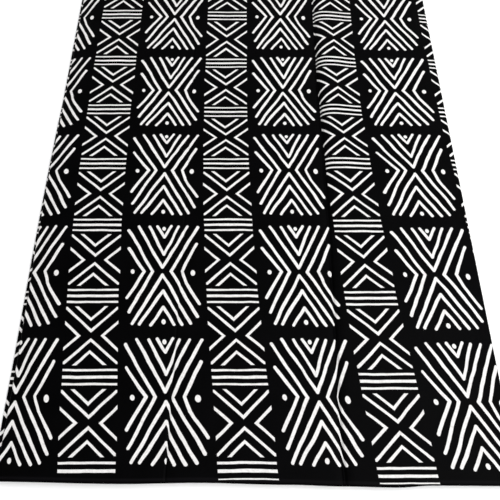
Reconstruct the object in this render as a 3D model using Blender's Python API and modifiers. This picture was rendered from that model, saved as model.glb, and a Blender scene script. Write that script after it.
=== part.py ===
"""Folded length of printed cotton, lying flat.

One sheet of cloth, folded in half three times along its length, so that its
eight layers go back and forth between the left and the right folds. The cloth's
width lies along Y, with the near selvedge at -Y. The origin is on the surface that
the pile lies on, under the middle of its box. Units are metres, +Z is up.
"""

import math
from collections import namedtuple

import bmesh
import bpy

# Driving sizes
CLOTH_WIDTH = 1.168  # from selvedge to selvedge, along Y
PILE_WIDTH = 0.7235  # from the left folds to the right fold, along X
SHEET = 0.001  # thickness of the cloth
GAP = 0.0005  # between two layers where a crease presses them together
PITCH = SHEET + GAP

# How the layers are joined, from the bottom one up. left_turn and right_turn name the
# layer that the fold on that side leads to, None at a cut end. left_edge names the
# column of LEFT_EDGES that the left end follows, left_inset is how far it stays behind
# that and sway how much further it wanders. Layers in one fold share all three.
# near_inset and far_inset are how far the selvedges stay behind the pile's edge, and
# follows is 1 where the near one follows the top layer's wander. The bottom layer's
# edges are straight, and hidden under the others.
Layer = namedtuple(
    "Layer", "left_turn right_turn left_edge left_inset sway near_inset far_inset follows"
)
LAYERS = (
    Layer(None, 7, "straight", 0.0016, 0.0000, 0.0080, 0.0010, 0),
    Layer(None, 6, "lower", 0.0008, 0.0010, 0.0004, 0.0016, 1),
    Layer(3, 5, "lower", 0.0000, 0.0000, 0.0020, 0.0004, 1),
    Layer(2, 4, "lower", 0.0000, 0.0000, 0.0008, 0.0022, 1),
    Layer(7, 3, "upper", 0.0000, 0.0008, 0.0016, 0.0012, 1),
    Layer(6, 2, "upper", 0.0000, 0.0008, 0.0010, 0.0018, 1),
    Layer(5, 1, "upper", 0.0000, 0.0008, 0.0006, 0.0006, 1),
    Layer(4, 0, "upper", 0.0000, 0.0008, 0.0000, 0.0000, 1),
)
CORNER_DIGITS = 5  # of a corner's place in metres, so to 0.01 mm
TURN_STEPS = 6  # straight runs round each fold
SWAY_LENGTH = 0.75  # of one wander of a left end, along Y

# How far the left ends lie behind the pile's left side, by the distance from the near
# selvedge: the bottom layer's, the lower folds' and the upper fold's
LeftEdge = namedtuple("LeftEdge", "distance straight lower upper")
LEFT_EDGES = (
    LeftEdge(0.00, 0.0032, 0.0020, 0.0090),
    LeftEdge(0.16, 0.0032, 0.0018, 0.0086),
    LeftEdge(0.26, 0.0032, 0.0008, 0.0068),
    LeftEdge(0.36, 0.0032, 0.0000, 0.0048),
    LeftEdge(0.50, 0.0032, 0.0000, 0.0042),
    LeftEdge(0.57, 0.0032, 0.0008, 0.0052),
    LeftEdge(0.68, 0.0032, 0.0026, 0.0074),
    LeftEdge(1.168, 0.0032, 0.0030, 0.0078),
)

# The near selvedge's inset across the pile, as it wanders
EdgePoint = namedtuple("EdgePoint", "x inset")
NEAR_EDGE = (
    EdgePoint(-0.3555, 0.0073),
    EdgePoint(-0.1745, 0.0044),
    EdgePoint(-0.0775, 0.0058),
    EdgePoint(0.0475, 0.0034),
    EdgePoint(0.1205, 0.0014),
    EdgePoint(0.1945, 0.0000),
    EdgePoint(0.2375, 0.0024),
    EdgePoint(0.3585, 0.0018),
)

# The two creases left by an earlier fold in three, as valleys from near to far.
# Each is depth deep in the top layer, and slope wide on either side.
Crease = namedtuple("Crease", "near_x far_x depth slope")
LEFT_CREASE = Crease(-0.1206, -0.1140, 0.0012, 0.020)
RIGHT_CREASE = Crease(0.1215, 0.1267, 0.0026, 0.014)
PANEL_RISE = 0.0028  # of the top layer between the creases and the folds
FOLD_SLOPE = 0.030  # from a fold's round to the full rise

# The hump to the right of the right crease, in the far half
HUMP_RISE = 0.0062
HUMP_PEAK = 0.020  # from the crease to the top of the hump
HUMP_FALL = 0.065  # from its top down to the pile again
HUMP_STARTS = 0.34  # distance from the near selvedge
HUMP_IS_FULL = 0.64
HUMP_EASES = 0.68
HUMP_AT_FAR_EDGE = 0.35  # of its full height

# Sections across the pile. They lie closer together where the hump starts.
Stretch = namedtuple("Stretch", "start end sections")
STRETCHES = (
    Stretch(0, HUMP_STARTS, 6),
    Stretch(HUMP_STARTS, HUMP_IS_FULL, 8),
    Stretch(HUMP_IS_FULL, CLOTH_WIDTH, 8),
)

# A point of the cloth's middle in a section. near, far and follows are its layer's.
Point = namedtuple("Point", "x z near far follows")

BLACK_DYE = (0.012, 0.012, 0.014, 1.0)
DYE_ROUGHNESS = 0.85


def eased(value, start, end):
    """0 before start, 1 after end, and smooth between them."""
    share = min(1.0, max(0.0, (value - start) / (end - start)))
    return share * share * (3 - 2 * share)


def mixed(a, b, share):
    return a + (b - a) * share


def from_table(table, name, distance):
    """The value in a table's column at this distance, eased between two rows."""
    for a, b in zip(table, table[1:]):
        if distance <= b.distance:
            share = eased(distance, a.distance, b.distance)
            return mixed(getattr(a, name), getattr(b, name), share)
    return getattr(table[-1], name)


def near_inset(x):
    """How far the top layer's near selvedge lies behind the pile's front, at x."""
    if x <= NEAR_EDGE[0].x:
        return NEAR_EDGE[0].inset
    for a, b in zip(NEAR_EDGE, NEAR_EDGE[1:]):
        if x <= b.x:
            return mixed(a.inset, b.inset, eased(x, a.x, b.x))
    return NEAR_EDGE[-1].inset


def crease_x(crease, distance):
    return mixed(crease.near_x, crease.far_x, distance / CLOTH_WIDTH)


def valley(x, distance, crease):
    """0 at the bottom of a crease and 1 beyond its slopes."""
    return eased(abs(x - crease_x(crease, distance)), 0, crease.slope)


def hump(x, distance):
    beside = x - crease_x(RIGHT_CREASE, distance)
    if beside < 0:
        return 0.0
    climb = 1 - max(0.0, 1 - beside / HUMP_PEAK) ** 2
    across = climb * (1 - eased(beside, HUMP_PEAK, HUMP_PEAK + HUMP_FALL))
    along = eased(distance, HUMP_STARTS, HUMP_IS_FULL)
    easing = mixed(1, HUMP_AT_FAR_EDGE, eased(distance, HUMP_EASES, CLOTH_WIDTH))
    return HUMP_RISE * across * along * easing


def relief(x, distance, ends):
    """How far the top layer stands above the height it has at its folds."""
    from_fold = eased(min(x - ends[0], ends[1] - x), 0, FOLD_SLOPE)
    rise = PANEL_RISE
    for crease in (LEFT_CREASE, RIGHT_CREASE):
        rise -= crease.depth * (1 - valley(x, distance, crease))
    return max(0.0, rise) * from_fold + hump(x, distance)


def outer_turn(layer, side):
    """The radius of the outermost fold that goes round a layer's end on a side."""
    spans = []
    for lower, row in enumerate(LAYERS):
        upper = getattr(row, side)
        if upper is not None and min(lower, upper) <= layer <= max(lower, upper):
            spans.append(abs(upper - lower) * PITCH / 2)
    return max(spans, default=0.0)


def run_ends(layer, distance):
    """Where a layer's flat run starts and ends, between the rounds of its folds."""
    row = LAYERS[layer]
    sway = row.sway * (1 + math.sin(2 * math.pi * distance / SWAY_LENGTH)) / 2
    inset = row.left_inset + from_table(LEFT_EDGES, row.left_edge, distance)
    left = -PILE_WIDTH / 2 + inset + sway
    left_round = outer_turn(layer, "left_turn")
    right = PILE_WIDTH / 2 - SHEET / 2 - outer_turn(layer, "right_turn")
    if left_round:
        left += SHEET / 2 + left_round
    return left, right


def run_places(distance, ends):
    """The places across the pile where a layer's run bends, from left to right."""
    left_x = crease_x(LEFT_CREASE, distance)
    right_x = crease_x(RIGHT_CREASE, distance)
    return (
        ends[0],
        ends[0] + FOLD_SLOPE,
        mixed(ends[0], left_x, 0.55),
        left_x - LEFT_CREASE.slope,
        left_x,
        left_x + LEFT_CREASE.slope,
        right_x - RIGHT_CREASE.slope,
        right_x,
        right_x + 0.4 * HUMP_PEAK,
        right_x + HUMP_PEAK,
        right_x + HUMP_PEAK + 0.5 * HUMP_FALL,
        right_x + HUMP_PEAK + HUMP_FALL,
        ends[1] - FOLD_SLOPE,
        ends[1],
    )


def run(layer, distance):
    """The middle of one layer, from left to right."""
    row = LAYERS[layer]
    ends = run_ends(layer, distance)
    share = layer / (len(LAYERS) - 1)
    points = []
    for x in run_places(distance, ends):
        z = SHEET / 2 + layer * PITCH + share * relief(x, distance, ends)
        points.append(Point(x, z, row.near_inset, row.far_inset, row.follows))
    return points


def turn(start, end, outwards):
    """The points round a fold from start to end, without those two."""
    radius = (end.z - start.z) / 2
    points = []
    for step in range(1, TURN_STEPS):
        share = step / TURN_STEPS
        x = start.x + outwards * abs(radius) * math.sin(math.pi * share)
        z = start.z + radius * (1 - math.cos(math.pi * share))
        edges = [mixed(a, b, share) for a, b in zip(start[2:], end[2:])]
        points.append(Point(x, z, *edges))
    return points


def section(distance):
    """The middle of the cloth from one cut end to the other, back and forth."""
    layer, heading_right = 0, True
    points = run(layer, distance)
    for _ in LAYERS[1:]:
        layer = LAYERS[layer].right_turn if heading_right else LAYERS[layer].left_turn
        following = run(layer, distance)
        if heading_right:
            following.reverse()
        points += turn(points[-1], following[0], 1 if heading_right else -1)
        points += following
        heading_right = not heading_right
    return points


def placed(point, distance):
    """A section's point in space. The near selvedge's wander fades towards the far one."""
    share = distance / CLOTH_WIDTH
    wander = near_inset(point.x) * point.follows
    near = wander * (1 - share) ** 2 + point.near * (1 - share)
    return point.x, -CLOTH_WIDTH / 2 + distance + near - point.far * share, point.z


def section_distances():
    """How far each section lies from the near selvedge."""
    distances = [0.0]
    for stretch in STRETCHES:
        for i in range(1, stretch.sections + 1):
            distances.append(mixed(stretch.start, stretch.end, i / stretch.sections))
    return distances


def sheet_mesh():
    """The cloth's middle surface, lofted through the sections."""
    mesh = bmesh.new()
    rows = []
    for distance in section_distances():
        rows.append([mesh.verts.new(placed(p, distance)) for p in section(distance)])
    for near, far in zip(rows, rows[1:]):
        for i in range(len(near) - 1):
            mesh.faces.new((near[i], near[i + 1], far[i + 1], far[i]))
    bmesh.ops.recalc_face_normals(mesh, faces=mesh.faces)
    data = bpy.data.meshes.new("cloth")
    mesh.to_mesh(data)
    mesh.free()
    return data


def dyed_cotton():
    material = bpy.data.materials.new("printed_cotton")
    material.use_nodes = True
    shader = material.node_tree.nodes["Principled BSDF"]
    shader.inputs["Base Color"].default_value = BLACK_DYE
    shader.inputs["Roughness"].default_value = DYE_ROUGHNESS
    shader.inputs["Metallic"].default_value = 0.0
    return material


def thickened(thing):
    """The sheet as a closed body. Its corners are rounded, so its underside is flat."""
    thickness = thing.modifiers.new("thickness", "SOLIDIFY")
    thickness.thickness = SHEET
    thickness.offset = 0.0
    thickness.use_even_offset = True
    bpy.context.view_layer.update()
    graph = bpy.context.evaluated_depsgraph_get()
    data = bpy.data.meshes.new_from_object(thing.evaluated_get(graph))
    thing.modifiers.clear()
    for corner in data.vertices:
        corner.co = [round(value, CORNER_DIGITS) for value in corner.co]
    return data


def cloth(collection):
    thing = bpy.data.objects.new("cloth", sheet_mesh())
    collection.objects.link(thing)
    thing.data = thickened(thing)
    thing.data.materials.append(dyed_cotton())
    thing.data.shade_smooth()
    thing.data.set_sharp_from_angle(angle=math.radians(35))
    return thing


def main():
    for thing in list(bpy.data.objects):
        bpy.data.objects.remove(thing)
    collection = bpy.data.collections.new("folded_printed_cotton")
    bpy.context.scene.collection.children.link(collection)
    cloth(collection)


main()
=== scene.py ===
"""The folded length of printed cotton, dressed for the picture.

One thin sheet follows the solid's folds, finer and with sharper creases. Its print is a
procedural material that reads the cloth's own coordinates: columns of the repeat along
the cloth and rows of it across the cloth. Units are metres, +Z is up.
"""

import math
from collections import namedtuple

import bmesh
import bpy
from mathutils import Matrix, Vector, noise


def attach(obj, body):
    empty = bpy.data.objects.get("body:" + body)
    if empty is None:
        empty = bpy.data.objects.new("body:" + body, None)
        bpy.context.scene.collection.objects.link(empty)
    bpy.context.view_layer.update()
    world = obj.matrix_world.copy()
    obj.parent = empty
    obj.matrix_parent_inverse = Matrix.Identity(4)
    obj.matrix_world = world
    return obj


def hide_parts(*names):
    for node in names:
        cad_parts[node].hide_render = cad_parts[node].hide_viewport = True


# The cloth and its folds, as in the solid
CLOTH_WIDTH = 1.168
PILE_WIDTH = 0.7235
SOLID_SHEET = 0.001
PITCH = 0.0015
Layer = namedtuple(
    "Layer", "left_turn right_turn left_edge left_inset sway near_inset far_inset follows spans"
)
LOW, HIGH, TOP = "low", "high", "top"
# From the lowest layer. A turn names the layer that its fold leads to, sway is how far
# its left edge swings, the insets draw its selvedges in, follows is 1 where it follows the
# near selvedge's wander, and spans picks its columns.
LAYERS = (
    Layer(None, 7, "straight", 0.0016, 0.0000, 0.0080, 0.0010, 0, LOW),
    Layer(None, 6, "lower", 0.0008, 0.0010, 0.0004, 0.0016, 1, LOW),
    Layer(3, 5, "lower", 0.0000, 0.0000, 0.0020, 0.0004, 1, LOW),
    Layer(2, 4, "lower", 0.0000, 0.0000, 0.0008, 0.0022, 1, LOW),
    Layer(7, 3, "upper", 0.0000, 0.0008, 0.0016, 0.0012, 1, HIGH),
    Layer(6, 2, "upper", 0.0000, 0.0008, 0.0010, 0.0018, 1, HIGH),
    Layer(5, 1, "upper", 0.0000, 0.0008, 0.0006, 0.0006, 1, HIGH),
    Layer(4, 0, "upper", 0.0000, 0.0008, 0.0000, 0.0000, 1, TOP),
)
SWAY_LENGTH = 0.75  # of one swing of a left edge
# How far in the left edges lie, by the distance from the near selvedge
LeftEdge = namedtuple("LeftEdge", "distance straight lower upper")
LEFT_EDGES = (
    LeftEdge(0.00, 0.0032, 0.0020, 0.0090),
    LeftEdge(0.16, 0.0032, 0.0018, 0.0086),
    LeftEdge(0.26, 0.0032, 0.0008, 0.0068),
    LeftEdge(0.36, 0.0032, 0.0000, 0.0048),
    LeftEdge(0.50, 0.0032, 0.0000, 0.0042),
    LeftEdge(0.57, 0.0032, 0.0008, 0.0052),
    LeftEdge(0.68, 0.0032, 0.0026, 0.0074),
    LeftEdge(1.168, 0.0032, 0.0030, 0.0078),
)
# How far in the near selvedge lies
EdgePoint = namedtuple("EdgePoint", "x inset")
NEAR_EDGE = (
    EdgePoint(-0.3555, 0.0073),
    EdgePoint(-0.1745, 0.0044),
    EdgePoint(-0.0775, 0.0058),
    EdgePoint(0.0475, 0.0034),
    EdgePoint(0.1205, 0.0014),
    EdgePoint(0.1945, 0.0000),
    EdgePoint(0.2375, 0.0024),
    EdgePoint(0.3585, 0.0018),
)
FOLD_SLOPE = 0.030  # from a fold to where the top layer's relief is full
# The hump beside the right crease, across it and then along it
HUMP_RISE = 0.0062
HUMP_PEAK = 0.020
HUMP_FALL = 0.065
HUMP_STARTS = 0.34
HUMP_IS_FULL = 0.64
HUMP_EASES = 0.68
HUMP_AT_FAR_EDGE = 0.35

# What is finer here than in the solid
SHEET = 0.0009
STATIONS = 88  # even steps across the cloth
SELVEDGE_LINE = 0.0050  # how far from the near selvedge a faint paler line runs
NEAR_STATIONS = (0.0025, SELVEDGE_LINE, 0.0075, 0.0100, 0.0175, 0.0210)  # more steps there
TURN_STEPS = 8  # round each fold
PANEL_RISE = 0.0040  # of the top layer between the creases and the folds
RIPPLE = 0.0004  # height of the faint unevenness of the top layer
# Its broad and its long narrow waves: steps of noise in a metre along and across the
# cloth, their place in the noise, and their share of the height
Wave = namedtuple("Wave", "along across place share")
WAVES = (Wave(14, 9, 2.5, 1.0), Wave(34, 5, 7.5, 0.5))
# A crease is a broad valley with a sharp one in it, and wanders along its path of
# (distance from the near selvedge, x)
Crease = namedtuple("Crease", "path broad broad_slope sharp sharp_slope")
LEFT_CREASE = Crease(
    ((0, -0.1207), (0.07, -0.1198), (0.16, -0.1174), (0.38, -0.1142), (1.168, -0.1140)),
    0.0007, 0.022, 0.0010, 0.0026,
)
RIGHT_CREASE = Crease(
    ((0, 0.1225), (0.05, 0.1210), (0.11, 0.1212), (0.17, 0.1237), (0.25, 0.1243),
     (0.40, 0.1265), (0.62, 0.1267), (0.70, 0.1247), (0.86, 0.1267), (1.168, 0.1267)),
    0.0015, 0.013, 0.0024, 0.0044,
)
# The sharp valley's depth swings by this share either way along a crease
CREASE_UNEVEN = 0.12
CREASE_WAVE = 11  # radians in a metre
CREASE_PHASE = 30  # radians for each metre of broad_slope, so the two creases differ
SHARP_ZONE = 0.0048  # on either side of a crease, where the columns lie closest
# How many columns each part of a run takes, from the left fold to the right one
SPANS = {
    LOW: (2, 4, 1, 6, 1, 3, 3, 1, 6, 1, 3, 3, 2),
    HIGH: (3, 5, 2, 9, 2, 4, 4, 2, 9, 3, 6, 4, 3),
    TOP: (7, 36, 3, 11, 3, 19, 19, 3, 11, 4, 12, 20, 7),
}

# Where the print lies. Columns are counted from the one right of the middle, and rows
# from the nearest one, each at its middle.
COLUMN = 0.2166  # pitch of the columns along the cloth
ROW = 0.19  # pitch of the rows across it
COLUMN_X = 0.0582  # of column 0 in the far half
DRIFT = 0.0908  # how the columns lean to the right towards the near selvedge
DRIFT_STARTS = 0.75
DRIFT_POWER = 2.2
DRIFT_SPREAD = 0.09  # less of it for each column to the left
NADIR = -0.5796  # where distances of the rows and bars are counted from, on Y
RowPlace = namedtuple("RowPlace", "distance row")
ROW_PLACES = (
    RowPlace(0.0152, -0.5),
    RowPlace(0.1136, 0),
    RowPlace(0.1980, 0.42),
    RowPlace(0.2190, 0.54),
    RowPlace(0.308, 1),
    RowPlace(0.499, 2),
    RowPlace(0.678, 3),
    RowPlace(0.872, 4),
    RowPlace(1.063, 5),
)
BAR_PLACES = (0.0160, 0.1419, 0.2670, 0.3918, 0.5131, 0.6333, 0.7529, 0.8790, 1.008, 1.137)
FIRST_BARS = -0.5  # in rows
BAR_STEP = 2 / 3  # of a row, from one group of bars to the next
# How much nearer the rows lie than those of the left columns, by the distance: in the
# rightmost wide column, and in the middle and the right narrow one
Lag = namedtuple("Lag", "distance wide middle right")
LAGS = (
    Lag(0.000, 0.0068, 0.0000, 0.0050),
    Lag(0.012, 0.0068, 0.0000, 0.0066),
    Lag(0.14, 0.0066, 0.0000, 0.0060),
    Lag(0.27, 0.0062, 0.0000, 0.0040),
    Lag(0.39, 0.0040, 0.0000, 0.0021),
    Lag(0.51, 0.0006, 0.0000, 0.0003),
    Lag(0.62, 0.0006, 0.0062, 0.0040),
    Lag(0.76, 0.0025, 0.0072, 0.0062),
    Lag(0.88, 0.0060, 0.0044, 0.0087),
    Lag(1.168, 0.0060, 0.0044, 0.0087),
)
# Between which columns each lag comes in
WIDE_LAG_GROWS = (-0.2, 1)
MIDDLE_LAG_GROWS = (-1.3, -0.6)
RIGHT_LAG_GROWS = (-0.25, 0.25)
# How far the print lies outwards in the outer columns, by the distance: in the leftmost
# one, in the whole of the rightmost one, and at the right fold
Shift = namedtuple("Shift", "distance left right fold")
SHIFTS = (
    Shift(0.00, -0.0020, 0.0000, 0.0000),
    Shift(0.11, -0.0020, 0.0000, 0.0010),
    Shift(0.20, -0.0010, 0.0000, 0.0028),
    Shift(0.31, 0.0015, 0.0000, 0.0055),
    Shift(0.42, 0.0034, 0.0020, 0.0070),
    Shift(0.46, 0.0036, 0.0025, 0.0075),
    Shift(0.50, 0.0062, 0.0058, 0.0090),
    Shift(0.545, 0.0040, 0.0022, 0.0082),
    Shift(0.62, 0.0028, 0.0000, 0.0080),
    Shift(0.68, 0.0014, 0.0005, 0.0075),
    Shift(0.87, 0.0000, 0.0000, 0.0040),
    Shift(1.168, 0.0000, 0.0000, 0.0040),
)
# Between which columns each shift comes in and fades, counted outwards from column 0
LEFT_SHIFT_GROWS = (1.6, 2.1)
LEFT_SHIFT_FADES = (2.6, 3.6)
RIGHT_SHIFT_GROWS = (0.70, 0.78)
RIGHT_SHIFT_FADES = (2, 3)
FOLD_SHIFT_GROWS = (0.95, 1.35)
# How much cloth each crease takes in, by the distance. The cloth beyond it eases that again.
LEFT_PINCH = ((0, 0.0052), (0.11, 0.0038), (0.22, 0.0012), (0.35, 0.0))
RIGHT_PINCH = ((0, 0.0030), (0.11, 0.0032), (0.22, 0.0015), (0.35, 0.0))
PINCH_HALF = 0.0022
PINCH_EASES = (0.014, 0.058)
# How far the columns left of the rightmost ones fall back at the selvedge
NEAR_RETURN = 0.0034
NEAR_RETURN_ENDS = 0.09
NEAR_RETURN_GROWS = (-1.9, -1.1)  # between these columns
NEAR_RETURN_FADES = (0.6, 0.9)
WIDE_HALF = 0.275  # of a wide column, in columns
NARROW_STARTS = 0.305
# No print nearer the near selvedge than this, in rows
WIDE_ENDS = -0.535
NARROW_ENDS = -0.578
PLAIN_ENDS = -0.527
PLAIN_PLACE = (-1.9, -1.0)  # the plain strip on the selvedge, in columns
TILE_CORNER = (-0.9, 0.9)  # of the part of the print that the baked image holds
TILE_SIZE = 2.0


def eased(value, start, end):
    """0 before start, 1 after end, and smooth between them."""
    share = min(1.0, max(0.0, (value - start) / (end - start)))
    return share * share * (3 - 2 * share)


def mixed(a, b, share):
    """a at share 0 and b at share 1."""
    return a + (b - a) * share


def from_table(table, name, distance):
    """The value in a table's named column at a distance from the near selvedge."""
    for a, b in zip(table, table[1:]):
        if distance <= b.distance:
            share = eased(distance, a.distance, b.distance)
            return mixed(getattr(a, name), getattr(b, name), share)
    return getattr(table[-1], name)


def along_table(table, place):
    """The value at a place in a table of (place, value)."""
    for (start, a), (end, b) in zip(table, table[1:]):
        if place <= end:
            return mixed(a, b, eased(place, start, end))
    return table[-1][1]


def crease_x(crease, distance):
    return along_table(crease.path, distance)


def crease_depth(crease, x, distance):
    away = abs(x - crease_x(crease, distance))
    broad = crease.broad * (1 - eased(away, 0, crease.broad_slope))
    sharp = crease.sharp * (1 - eased(away, 0, crease.sharp_slope))
    swing = math.sin(CREASE_WAVE * distance + CREASE_PHASE * crease.broad_slope)
    return broad + sharp * (1 - CREASE_UNEVEN + CREASE_UNEVEN * swing)


def hump(x, distance):
    """The height of the low hump right of the right crease."""
    beside = x - crease_x(RIGHT_CREASE, distance)
    if beside < 0:
        return 0.0
    climb = 1 - max(0.0, 1 - beside / HUMP_PEAK) ** 2
    across = climb * (1 - eased(beside, HUMP_PEAK, HUMP_PEAK + HUMP_FALL))
    along = eased(distance, HUMP_STARTS, HUMP_IS_FULL)
    easing = mixed(1, HUMP_AT_FAR_EDGE, eased(distance, HUMP_EASES, CLOTH_WIDTH))
    return HUMP_RISE * across * along * easing


def ripple(x, distance):
    height = 0.0
    for wave in WAVES:
        place = Vector((x * wave.along, distance * wave.across, wave.place))
        height += wave.share * noise.noise(place)
    return RIPPLE * height


def relief(x, distance, ends):
    """How far the top layer stands above the height it has at its folds."""
    from_fold = eased(min(x - ends[0], ends[1] - x), 0, FOLD_SLOPE)
    rise = PANEL_RISE + ripple(x, distance)
    for crease in (LEFT_CREASE, RIGHT_CREASE):
        rise -= crease_depth(crease, x, distance)
    return max(0.0, rise) * from_fold + hump(x, distance)


def outer_turn(layer, side):
    """The radius of the outermost fold that goes round a layer's end on a side."""
    spans = []
    for lower, row in enumerate(LAYERS):
        upper = getattr(row, side)
        if upper is not None and min(lower, upper) <= layer <= max(lower, upper):
            spans.append(abs(upper - lower) * PITCH / 2)
    return max(spans, default=0.0)


def run_ends(layer, distance):
    """Where a layer's flat run starts and ends, between the rounds of its folds."""
    row = LAYERS[layer]
    sway = row.sway * (1 + math.sin(2 * math.pi * distance / SWAY_LENGTH)) / 2
    inset = row.left_inset + from_table(LEFT_EDGES, row.left_edge, distance)
    left = -PILE_WIDTH / 2 + inset + sway
    left_round = outer_turn(layer, "left_turn")
    right = PILE_WIDTH / 2 - SOLID_SHEET / 2 - outer_turn(layer, "right_turn")
    if left_round:
        left += SOLID_SHEET / 2 + left_round
    return left, right


def run_places(layer, distance, ends):
    """The places of a run's columns, from left to right. They lie closest at the creases."""
    left_x = crease_x(LEFT_CREASE, distance)
    right_x = crease_x(RIGHT_CREASE, distance)
    knots = (
        ends[0],
        ends[0] + FOLD_SLOPE,
        left_x - LEFT_CREASE.broad_slope,
        left_x - SHARP_ZONE,
        left_x + SHARP_ZONE,
        left_x + LEFT_CREASE.broad_slope,
        (left_x + right_x) / 2,
        right_x - RIGHT_CREASE.broad_slope,
        right_x - SHARP_ZONE,
        right_x + SHARP_ZONE,
        right_x + HUMP_PEAK,
        right_x + HUMP_PEAK + HUMP_FALL,
        ends[1] - FOLD_SLOPE,
        ends[1],
    )
    places = [knots[0]]
    for start, end, count in zip(knots, knots[1:], SPANS[LAYERS[layer].spans]):
        places += [mixed(start, end, i / count) for i in range(1, count + 1)]
    return places


# A point of the cloth's middle in a section. near, far and follows are its layer's.
Point = namedtuple("Point", "x z near far follows")


def run(layer, distance):
    """The points of a layer's flat run, from left to right."""
    row = LAYERS[layer]
    ends = run_ends(layer, distance)
    share = layer / (len(LAYERS) - 1)
    points = []
    for x in run_places(layer, distance, ends):
        z = SOLID_SHEET / 2 + layer * PITCH + share * relief(x, distance, ends)
        points.append(Point(x, z, row.near_inset, row.far_inset, row.follows))
    return points


def turn(start, end, outwards):
    """The points round a fold from start to end, without those two."""
    radius = (end.z - start.z) / 2
    points = []
    for step in range(1, TURN_STEPS):
        share = step / TURN_STEPS
        x = start.x + outwards * abs(radius) * math.sin(math.pi * share)
        z = start.z + radius * (1 - math.cos(math.pi * share))
        edges = [mixed(a, b, share) for a, b in zip(start[2:], end[2:])]
        points.append(Point(x, z, *edges))
    return points


def section(distance):
    """The middle of the cloth from one cut end to the other, and where its top run lies."""
    layer, heading_right = 0, True
    points = run(layer, distance)
    top = None
    for _ in LAYERS[1:]:
        layer = LAYERS[layer].right_turn if heading_right else LAYERS[layer].left_turn
        following = run(layer, distance)
        if heading_right:
            following.reverse()
        points += turn(points[-1], following[0], 1 if heading_right else -1)
        if LAYERS[layer].spans == TOP:
            top = (len(points), len(points) + len(following))
        points += following
        heading_right = not heading_right
    return points, top


def placed(point, distance):
    """A section's point in space. The near selvedge's wander fades towards the far one."""
    share = distance / CLOTH_WIDTH
    wander = along_table(NEAR_EDGE, point.x) * point.follows
    near = wander * (1 - share) ** 2 + point.near * (1 - share)
    return Vector(
        (point.x, -CLOTH_WIDTH / 2 + distance + near - point.far * share, point.z)
    )


def print_shift(column, distance):
    """How far the print of the outer columns lies to the right, less than 0 for the left."""
    left = from_table(SHIFTS, "left", distance) * eased(-column, *LEFT_SHIFT_GROWS)
    left *= 1 - eased(-column, *LEFT_SHIFT_FADES)
    right = from_table(SHIFTS, "right", distance) * eased(column, *RIGHT_SHIFT_GROWS)
    fold = from_table(SHIFTS, "fold", distance)
    right = mixed(right, fold, eased(column, *FOLD_SHIFT_GROWS))
    return right * (1 - eased(column, *RIGHT_SHIFT_FADES)) - left


def drift(distance):
    """How far the columns have leant to the right there."""
    return DRIFT * max(0.0, DRIFT_STARTS - distance) ** DRIFT_POWER


def pinch(x, distance):
    """How much cloth the creases take in before x, near the selvedge."""
    taken = 0.0
    for crease, table in ((LEFT_CREASE, LEFT_PINCH), (RIGHT_CREASE, RIGHT_PINCH)):
        beyond = x - crease_x(crease, distance)
        share = eased(beyond, -PINCH_HALF, PINCH_HALF) * (1 - eased(beyond, *PINCH_EASES))
        taken += along_table(table, distance) * share
    return taken


def count_along(places, distance):
    """How many of these places lie before a distance, with the part of a step as a fraction."""
    step = 0
    while step < len(places) - 2 and distance > places[step + 1]:
        step += 1
    return step + (distance - places[step]) / (places[step + 1] - places[step])


def row_along(distance):
    """The row of the wide columns at a distance, straight between the places given."""
    pairs = list(zip(ROW_PLACES, ROW_PLACES[1:]))
    a, b = next((pair for pair in pairs if distance <= pair[1].distance), pairs[-1])
    return mixed(a.row, b.row, (distance - a.distance) / (b.distance - a.distance))


def print_rows(column, distance):
    """The rows of the wide and the narrow columns there, and the one that shows."""
    lag = from_table(LAGS, "wide", distance) * eased(column, *WIDE_LAG_GROWS)
    wide_row = max(row_along(distance + lag), WIDE_ENDS)
    middle = from_table(LAGS, "middle", distance) * eased(column, *MIDDLE_LAG_GROWS)
    right = from_table(LAGS, "right", distance)
    lag = mixed(middle, right, eased(column, *RIGHT_LAG_GROWS))
    narrow_row = FIRST_BARS + BAR_STEP * count_along(BAR_PLACES, distance + lag)
    ends = NARROW_ENDS
    if PLAIN_PLACE[0] < column < PLAIN_PLACE[1]:
        ends = PLAIN_ENDS
    narrow_row = max(narrow_row, ends)
    to_wide = abs(column - round(column))
    narrow = eased(to_wide, WIDE_HALF, NARROW_STARTS)
    return wide_row, narrow_row, mixed(wide_row, narrow_row, narrow)


def print_places(spots, top):
    """The column and the rows of the print at each spot of a section."""
    along = [0.0]
    for a, b in zip(spots, spots[1:]):
        along.append(along[-1] + math.hypot(b.x - a.x, b.z - a.z))
    distance = spots[top[0]].y - NADIR
    shift = drift(distance)
    column_x = COLUMN_X + shift
    start = next(i for i in range(*top) if spots[i + 1].x <= column_x)
    a, b = spots[start], spots[start + 1]
    middle = mixed(along[start], along[start + 1], (a.x - column_x) / (a.x - b.x))
    found = []
    for spot, length in zip(spots, along):
        pitch = COLUMN + (DRIFT_SPREAD * shift if length > middle else 0)
        column = (middle - length) / pitch
        away = spot.y - NADIR
        back = NEAR_RETURN * (1 - eased(away, 0, NEAR_RETURN_ENDS))
        back *= eased(column, *NEAR_RETURN_GROWS) * (1 - eased(column, *NEAR_RETURN_FADES))
        if top[0] <= len(found) < top[1]:
            back += pinch(spot.x, away)
        column += (back - print_shift(column, away)) / COLUMN
        found.append((column, *print_rows(column, away)))
    return found


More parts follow.
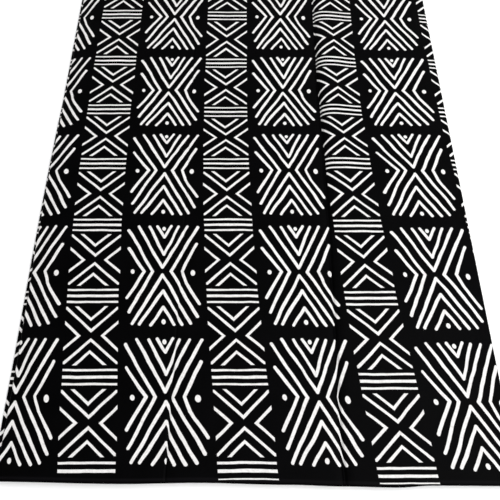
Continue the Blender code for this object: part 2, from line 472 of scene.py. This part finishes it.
def cloth_mesh():
    """The cloth's middle surface, with a map for each kind of column and the baked image.

    The vertex layer selvedge_line is 1 along the faint paler line.
    """
    mesh = bmesh.new()
    line = mesh.verts.layers.float.new("selvedge_line")
    rows, maps = [], {}
    even = [CLOTH_WIDTH * i / STATIONS for i in range(STATIONS + 1)]
    for distance in sorted([*even, *NEAR_STATIONS]):
        points, top = section(distance)
        spots = [placed(p, distance) for p in points]
        row = [mesh.verts.new(spot) for spot in spots]
        for vertex, place in zip(row, print_places(spots, top)):
            maps[vertex] = place
            vertex[line] = 1.0 if distance == SELVEDGE_LINE else 0.0
        rows.append(row)
    wide = mesh.loops.layers.uv.new("wide_columns")
    narrow = mesh.loops.layers.uv.new("narrow_columns")
    baked = mesh.loops.layers.uv.new("OFBake")
    for near, far in zip(rows, rows[1:]):
        for i in range(len(near) - 1):
            face = mesh.faces.new((near[i], near[i + 1], far[i + 1], far[i]))
            face.smooth = True
            for loop in face.loops:
                column, wide_row, narrow_row, shown_row = maps[loop.vert]
                loop[wide].uv = (column, wide_row)
                loop[narrow].uv = (column, narrow_row)
                place = (column, shown_row)
                loop[baked].uv = [(p - c) / TILE_SIZE for p, c in zip(place, TILE_CORNER)]
    bmesh.ops.recalc_face_normals(mesh, faces=mesh.faces)
    data = bpy.data.meshes.new("folded_cloth")
    mesh.to_mesh(data)
    mesh.free()
    return data


# The print's chart, in millimetres from the middle of its cell
WIDE_CELL = (COLUMN * 1000, ROW * 1000)
NARROW_CELL = (COLUMN * 1000, ROW * BAR_STEP * 1000)
# Strokes with round ends in a wide column, each through its places
WIDE_STROKES = (
    ((-56, 73), (-15, 0), (-52, -66)),
    ((-55, 40), (-28, 0), (-55, -43)),
    ((-40, 80), (0, 7), (41, 80)),
    ((-22, 79), (2, 30), (26, 80)),
    ((-9, 80), (2, 61), (14, 81)),
    ((58, 79), (47, 60), (13, 0), (32, -34), (53, -73)),
    ((55, 48), (30.5, 1), (37, -19), (57, -53)),
    ((-47, -84), (0, -6), (43, -84)),
    ((-36, -85), (0, -32), (30, -86)),
    ((-19, -87), (0, -59), (16, -86)),
)
WIDE_STROKE = 2.27  # half of its width
Dot = namedtuple("Dot", "x y across along")
DOTS = (
    Dot(-47, -1, 3.3, 3.9),
    Dot(1.5, 76, 2.9, 3.4),
    Dot(48, -2, 3.6, 5.0),
    Dot(0, -82, 3.1, 4.0),
)
# Chevrons with cut ends in a narrow column. axis is the one they open along, opens
# their direction, slope how fast, and the last two where they are cut off.
Chevron = namedtuple("Chevron", "x y axis opens slope across along")
CHEVRONS = (
    Chevron(-1, 25, "y", 1, 0.93, 90, 46),
    Chevron(0, 7, "y", 1, 0.93, 39.8, 45),
    Chevron(-18, -1, "x", -1, 1.10, 40.4, 90),
    Chevron(17, -1, "x", 1, 1.08, 40.4, 90),
    Chevron(0, -7.5, "y", -1, 0.91, 39.8, 44.4),
    Chevron(-1, -26, "y", -1, 0.90, 90, 46),
)
NARROW_STROKE = 1.95
# A bar on either side of the cell's middle: how far from it, and half its thickness
Bar = namedtuple("Bar", "away half")
BARS = (Bar(53.2, 1.56), Bar(63.33, 2.10))
BAR_HALF_LENGTH = 39.8
LAST_BAR = -0.045  # in groups of bars, where the one at the selvedge begins
LAST_BAR_SOFT = 0.01
LAST_BAR_THINNER = 0.75
FEATHER = 0.35  # soft edge of a stroke

# The wobble of the hand that drew the strokes: its grains in metres, how far it sways
# the strokes and how much wider it makes them, in millimetres
NOISE_RANGE = (0.2, 0.8)  # where nearly all of a noise's values lie
HAND_GRAIN = 0.036
HAND_DETAIL = 1.5
SWAY_X = 1.5
SWAY_Y = 1.2
SPREAD = 0.40
FINE_GRAIN = 0.011
FINE_DETAIL = 1.0
FINE_SPREAD = 0.18
# The shares of it in the narrow columns
NARROW_SWAY_X = 0.5
NARROW_SWAY_Y = 0.7
NARROW_SPREAD = 0.7

# The cloth's unevenness, its gloss and its weave
MOTTLE_GRAIN = 0.0035
BLOTCH_GRAIN = 0.045
COLOUR_DETAIL = 3.0
MOTTLED = (0.40, 0.72)  # the noise from where the white starts to be mottled to its end
WORN = (0.35, 0.8)  # the same for the worn black
ROUGHNESS = (0.52, 0.60)
ROUGHNESS_RANGE = (0.3, 0.7)  # of the noise
BLACK_ROUGHNESS = -0.04  # added to it in the black
THREAD = 0.00045  # pitch of the weave
SLUBS = 0.5  # share of the mottle in the weave's height
BUMP_STRENGTH = 0.35
BUMP_DISTANCE = 0.0001
SPECULAR = 0.02

BLACK = (0.0002, 0.0002, 0.0003, 1)
BLACK_WORN = (0.0009, 0.0008, 0.0011, 1)
BLACK_LINE = (0.0034, 0.0030, 0.0037, 1)  # along the near selvedge
WHITE = (0.735, 0.722, 0.712, 1)
WHITE_MOTTLED = (0.600, 0.580, 0.570, 1)


class Graph:
    """Short calls for the nodes of one material."""

    def __init__(self, material):
        self.tree = material.node_tree

    def node(self, kind, **settings):
        made = self.tree.nodes.new(kind)
        for name, value in settings.items():
            setattr(made, name, value)
        return made

    def feed(self, socket, value):
        if isinstance(value, bpy.types.NodeSocket):
            self.tree.links.new(value, socket)
        elif value is not None:
            socket.default_value = value

    def math(self, operation, *values, clamp=False):
        made = self.node("ShaderNodeMath", operation=operation, use_clamp=clamp)
        for socket, value in zip(made.inputs, values):
            self.feed(socket, value)
        return made.outputs[0]

    def vector(self, operation, *values, scale=None):
        made = self.node("ShaderNodeVectorMath", operation=operation)
        for socket, value in zip(made.inputs, values):
            self.feed(socket, value)
        if scale is not None:
            self.feed(made.inputs["Scale"], scale)
        number = operation in ("DOT_PRODUCT", "LENGTH", "DISTANCE")
        return made.outputs["Value" if number else "Vector"]

    def joined(self, x, y, z=0.0):
        made = self.node("ShaderNodeCombineXYZ")
        for socket, value in zip(made.inputs, (x, y, z)):
            self.feed(socket, value)
        return made.outputs[0]

    def ranged(self, value, start, end, low=0.0, high=1.0, smooth=False):
        made = self.node(
            "ShaderNodeMapRange",
            interpolation_type="SMOOTHSTEP" if smooth else "LINEAR",
        )
        for socket, number in zip(made.inputs, (value, start, end, low, high)):
            self.feed(socket, number)
        return made.outputs[0]

    def least(self, values):
        found = values[0]
        for value in values[1:]:
            found = self.math("MINIMUM", found, value)
        return found

    def blend(self, share, a, b):
        made = self.node("ShaderNodeMix", data_type="RGBA")
        self.feed(made.inputs["Factor"], share)
        colours = [s for s in made.inputs if s.type == "RGBA"]
        self.feed(colours[0], a)
        self.feed(colours[1], b)
        return next(s for s in made.outputs if s.type == "RGBA")


def on_circle(graph, count, pitch):
    """Where a count of columns or rows lies on a circle as long as the tile's side."""
    angle = graph.math("MULTIPLY", count, 2 * math.pi / TILE_SIZE)
    radius = TILE_SIZE * pitch / (2 * math.pi)
    return [graph.math("MULTIPLY", graph.math(part, angle), radius) for part in ("COSINE", "SINE")]


def round_the_tile(graph, column, row):
    """A place on two circles, so that noise there repeats with the baked image's part."""
    x, y = on_circle(graph, column, COLUMN)
    z, w = on_circle(graph, row, ROW)
    return graph.joined(x, y, z), w


def map_place(graph, name):
    """The column and the row in one of the cloth's maps."""
    found = graph.node("ShaderNodeUVMap", uv_map=name)
    parts = graph.node("ShaderNodeSeparateXYZ")
    graph.feed(parts.inputs[0], found.outputs[0])
    return parts.outputs[0], parts.outputs[1]


def noise_at(graph, place, grain, detail):
    """Noise whose grains are about this large, in metres."""
    made = graph.node("ShaderNodeTexNoise", noise_dimensions="4D")
    made.inputs["Scale"].default_value = 1 / grain
    made.inputs["Detail"].default_value = detail
    vector, w = place
    graph.feed(made.inputs["Vector"], vector)
    graph.feed(made.inputs["W"], w)
    return made


def in_cell(graph, count, pitch, offset):
    """Millimetres from the middle of the cell that a count falls in."""
    moved = graph.math("ADD", count, offset)
    return graph.math("MULTIPLY", graph.math("SUBTRACT", graph.math("FRACT", moved), 0.5), pitch)


def stroke_gap(graph, place, start, end):
    """How far a place is from a straight stroke's middle line."""
    step = (end[0] - start[0], end[1] - start[1], 0)
    size = step[0] ** 2 + step[1] ** 2
    off = graph.vector("SUBTRACT", place, (*start, 0))
    share = graph.vector("DOT_PRODUCT", off, tuple(c / size for c in step))
    share = graph.math("ADD", share, 0.0, clamp=True)
    return graph.vector("DISTANCE", off, graph.vector("SCALE", step, scale=share))


def wide_print(graph, place, spread):
    """The gap to the wide column's nearest edge of a stroke or dot, negative inside."""
    gaps = []
    for stroke in WIDE_STROKES:
        for start, end in zip(stroke, stroke[1:]):
            gaps.append(stroke_gap(graph, place, start, end))
    strokes = graph.math("SUBTRACT", graph.least(gaps), graph.math("ADD", spread, WIDE_STROKE))
    dots = []
    for dot in DOTS:
        off = graph.vector("SUBTRACT", place, (dot.x, dot.y, 0))
        round_off = graph.vector("MULTIPLY", off, (dot.along / dot.across, 1, 0))
        dots.append(graph.math("SUBTRACT", graph.vector("LENGTH", round_off), dot.along))
    return graph.math("MINIMUM", strokes, graph.least(dots))


def narrow_print(graph, x, y, spread):
    """The same for the narrow column's chevrons and bars."""
    found = []
    wide = graph.math("ABSOLUTE", x)
    level = graph.math("ABSOLUTE", y)
    half = graph.math("ADD", spread, NARROW_STROKE)
    for chevron in CHEVRONS:
        across = graph.math("SUBTRACT", x, chevron.x)
        along = graph.math("SUBTRACT", y, chevron.y)
        side, ahead = (across, along) if chevron.axis == "y" else (along, across)
        arm = graph.math("MULTIPLY", graph.math("ABSOLUTE", side), chevron.slope * chevron.opens)
        off = graph.math("ABSOLUTE", graph.math("SUBTRACT", ahead, arm))
        gap = graph.math("MULTIPLY", off, 1 / math.hypot(1, chevron.slope))
        gap = graph.math("SUBTRACT", gap, half)
        gap = graph.math("MAXIMUM", gap, graph.math("SUBTRACT", wide, chevron.across))
        found.append(graph.math("MAXIMUM", gap, graph.math("SUBTRACT", level, chevron.along)))
    for bar in BARS:
        off = graph.math("ABSOLUTE", graph.math("SUBTRACT", level, bar.away))
        gap = graph.math("SUBTRACT", off, graph.math("ADD", spread, bar.half))
        end = graph.math("SUBTRACT", wide, BAR_HALF_LENGTH)
        found.append(graph.math("MAXIMUM", gap, end))
    return graph.least(found)


def swung(graph, value, most):
    """Noise made into a length between -most and most."""
    return graph.ranged(value, *NOISE_RANGE, -most, most)


def print_gap(graph, column, row, narrow_row, tile):
    """The gap to the nearest edge of a stroke in any column, negative inside."""
    hand = noise_at(graph, tile, HAND_GRAIN, HAND_DETAIL)
    wobble = graph.node("ShaderNodeSeparateColor")
    graph.feed(wobble.inputs[0], hand.outputs["Color"])
    sway_x = swung(graph, wobble.outputs[0], SWAY_X)
    sway_y = swung(graph, wobble.outputs[1], SWAY_Y)
    fine = noise_at(graph, tile, FINE_GRAIN, FINE_DETAIL)
    spread = graph.math(
        "ADD",
        swung(graph, wobble.outputs[2], SPREAD),
        swung(graph, fine.outputs["Fac"], FINE_SPREAD),
    )

    wide_x = graph.math("ADD", in_cell(graph, column, WIDE_CELL[0], 0.5), sway_x)
    wide_y = graph.math("ADD", in_cell(graph, row, WIDE_CELL[1], 0.5), sway_y)
    wide = wide_print(graph, graph.joined(wide_x, wide_y), spread)

    bars = graph.math("SUBTRACT", narrow_row, FIRST_BARS)
    bars = graph.math("MULTIPLY", bars, 1 / BAR_STEP)
    narrow_x = in_cell(graph, column, NARROW_CELL[0], 0.0)
    narrow_y = in_cell(graph, bars, NARROW_CELL[1], 0.0)
    narrow_x = graph.math("MULTIPLY_ADD", sway_x, NARROW_SWAY_X, narrow_x)
    narrow_y = graph.math("MULTIPLY_ADD", sway_y, NARROW_SWAY_Y, narrow_y)
    thinner = graph.ranged(bars, LAST_BAR - LAST_BAR_SOFT, LAST_BAR, -LAST_BAR_THINNER, 0)
    spread = graph.math("MULTIPLY_ADD", spread, NARROW_SPREAD, thinner)
    return graph.math("MINIMUM", wide, narrow_print(graph, narrow_x, narrow_y, spread))


def cloth_colour(graph, black_share, mottle, blotch):
    white_share = graph.ranged(mottle.outputs["Fac"], *MOTTLED)
    white = graph.blend(white_share, WHITE, WHITE_MOTTLED)
    black = graph.blend(graph.ranged(blotch.outputs["Fac"], *WORN), BLACK, BLACK_WORN)
    line = graph.node("ShaderNodeAttribute", attribute_name="selvedge_line")
    black = graph.blend(line.outputs["Fac"], black, BLACK_LINE)
    return graph.blend(black_share, white, black)


def cloth_bump(graph, column, row, mottle):
    """The weave's fine relief, with thicker threads here and there."""
    slubs = graph.math("MULTIPLY", mottle.outputs["Fac"], SLUBS)
    bump = graph.node("ShaderNodeBump")
    bump.inputs["Strength"].default_value = BUMP_STRENGTH
    bump.inputs["Distance"].default_value = BUMP_DISTANCE
    graph.feed(bump.inputs["Height"], graph.math("ADD", weave_height(graph, column, row), slubs))
    return bump.outputs[0]


def printed_cotton():
    material = bpy.data.materials.new("printed_cotton")
    material.use_nodes = True
    graph = Graph(material)
    shader = material.node_tree.nodes["Principled BSDF"]
    column, row = map_place(graph, "wide_columns")
    narrow_row = map_place(graph, "narrow_columns")[1]
    tile = round_the_tile(graph, column, row)
    gap = print_gap(graph, column, row, narrow_row, tile)
    black_share = graph.ranged(gap, -FEATHER, FEATHER, 0, 1, smooth=True)
    mottle = noise_at(graph, tile, MOTTLE_GRAIN, COLOUR_DETAIL)
    blotch = noise_at(graph, tile, BLOTCH_GRAIN, COLOUR_DETAIL)
    rough = graph.ranged(blotch.outputs["Fac"], *ROUGHNESS_RANGE, *ROUGHNESS)
    rough = graph.math("MULTIPLY_ADD", black_share, BLACK_ROUGHNESS, rough)
    graph.feed(shader.inputs["Base Color"], cloth_colour(graph, black_share, mottle, blotch))
    graph.feed(shader.inputs["Roughness"], rough)
    graph.feed(shader.inputs["Normal"], cloth_bump(graph, column, row, mottle))
    shader.inputs["Specular IOR Level"].default_value = SPECULAR
    return material


def weave_height(graph, column, row):
    """Plain weave: warp and weft threads that go over and under each other in turn."""
    across = graph.math("MULTIPLY", column, math.pi * COLUMN / THREAD)
    along = graph.math("MULTIPLY", row, math.pi * ROW / THREAD)
    over = graph.math("MULTIPLY", graph.math("SINE", across), graph.math("SINE", along))
    return graph.math("MULTIPLY_ADD", over, 0.5, 0.5)


def cloth():
    thing = bpy.data.objects.new("printed_cloth", cloth_mesh())
    thing.data.materials.append(printed_cotton())
    bpy.context.scene.collection.objects.link(thing)
    thickness = thing.modifiers.new("thickness", "SOLIDIFY")
    thickness.thickness = SHEET
    thickness.offset = 0.0
    thickness.use_even_offset = True
    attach(thing, "root")
    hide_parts("cloth")


# The floor, the lamps and the camera
FLOOR_HALF = 6.0
FLOOR_DROP = 0.0002  # below the cloth
FLOOR_COLOUR = (0.97, 0.97, 0.97, 1)
FLOOR_ROUGHNESS = 0.9
WORLD_STRENGTH = 0.46
Lamp = namedtuple("Lamp", "name place aim size power colour")
LAMPS = (
    Lamp("overhead", (0.8, -1.1, 2.6), (0, 0, 0), (3.0, 2.0), 50, (1, 1, 1)),
    Lamp("from_right", (1.5, -0.2, 2.0), (0.1, 0, 0), (1.2, 1.2), 25, (0.97, 0.98, 1)),
    Lamp("from_far", (1.0, 1.4, 2.6), (0, 0.2, 0), (3.0, 2.4), 28, (1, 1, 1)),
)
CAMERA_PLACE = (-0.0110, NADIR, 0.7715)
CAMERA_TILT = 24.57  # degrees from straight down
LENS = 36.86  # millimetres, as is the sensor's width
SENSOR_WIDTH = 36.0
CAMERA_SHIFT_X = 0.0074
CLIP_START = 0.01


def plain_material(name, colour, roughness):
    material = bpy.data.materials.new(name)
    material.use_nodes = True
    shader = material.node_tree.nodes["Principled BSDF"]
    shader.inputs["Base Color"].default_value = colour
    shader.inputs["Roughness"].default_value = roughness
    shader.inputs["Specular IOR Level"].default_value = 0.0
    return material


def floor():
    half = FLOOR_HALF
    data = bpy.data.meshes.new("floor")
    corners = [(-half, -half, 0), (half, -half, 0), (half, half, 0), (-half, half, 0)]
    data.from_pydata(corners, [], [(0, 1, 2, 3)])
    data.materials.append(plain_material("pale_floor", FLOOR_COLOUR, FLOOR_ROUGHNESS))
    thing = bpy.data.objects.new("floor", data)
    bpy.context.scene.collection.objects.link(thing)
    thing.location.z = -FLOOR_DROP


def area_light(lamp):
    data = bpy.data.lights.new(lamp.name, "AREA")
    data.shape = "RECTANGLE"
    data.size, data.size_y = lamp.size
    data.energy = lamp.power
    data.color = lamp.colour
    thing = bpy.data.objects.new(lamp.name, data)
    thing.location = lamp.place
    direction = Vector(lamp.aim) - Vector(lamp.place)
    thing.rotation_euler = direction.to_track_quat("-Z", "Y").to_euler()
    bpy.context.scene.collection.objects.link(thing)


def lights():
    world = bpy.data.worlds.new("studio")
    bpy.context.scene.world = world
    world.use_nodes = True
    background = world.node_tree.nodes["Background"]
    background.inputs["Color"].default_value = (1, 1, 1, 1)
    background.inputs["Strength"].default_value = WORLD_STRENGTH
    for lamp in LAMPS:
        area_light(lamp)


def camera():
    data = bpy.data.cameras.new("camera")
    data.lens = LENS
    data.sensor_width = SENSOR_WIDTH
    data.shift_x = CAMERA_SHIFT_X
    data.clip_start = CLIP_START
    thing = bpy.data.objects.new("camera", data)
    thing.location = CAMERA_PLACE
    thing.rotation_euler = (math.radians(CAMERA_TILT), 0, 0)
    bpy.context.scene.collection.objects.link(thing)
    bpy.context.scene.camera = thing


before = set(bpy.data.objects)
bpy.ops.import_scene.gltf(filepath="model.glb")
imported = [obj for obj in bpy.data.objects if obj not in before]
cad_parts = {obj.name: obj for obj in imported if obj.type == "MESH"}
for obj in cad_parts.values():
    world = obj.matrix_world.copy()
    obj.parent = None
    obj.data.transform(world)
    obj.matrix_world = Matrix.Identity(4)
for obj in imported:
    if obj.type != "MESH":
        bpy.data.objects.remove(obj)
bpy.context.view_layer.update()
bpy.context.scene.view_settings.view_transform = "Standard"
camera()
floor()
lights()
cloth()
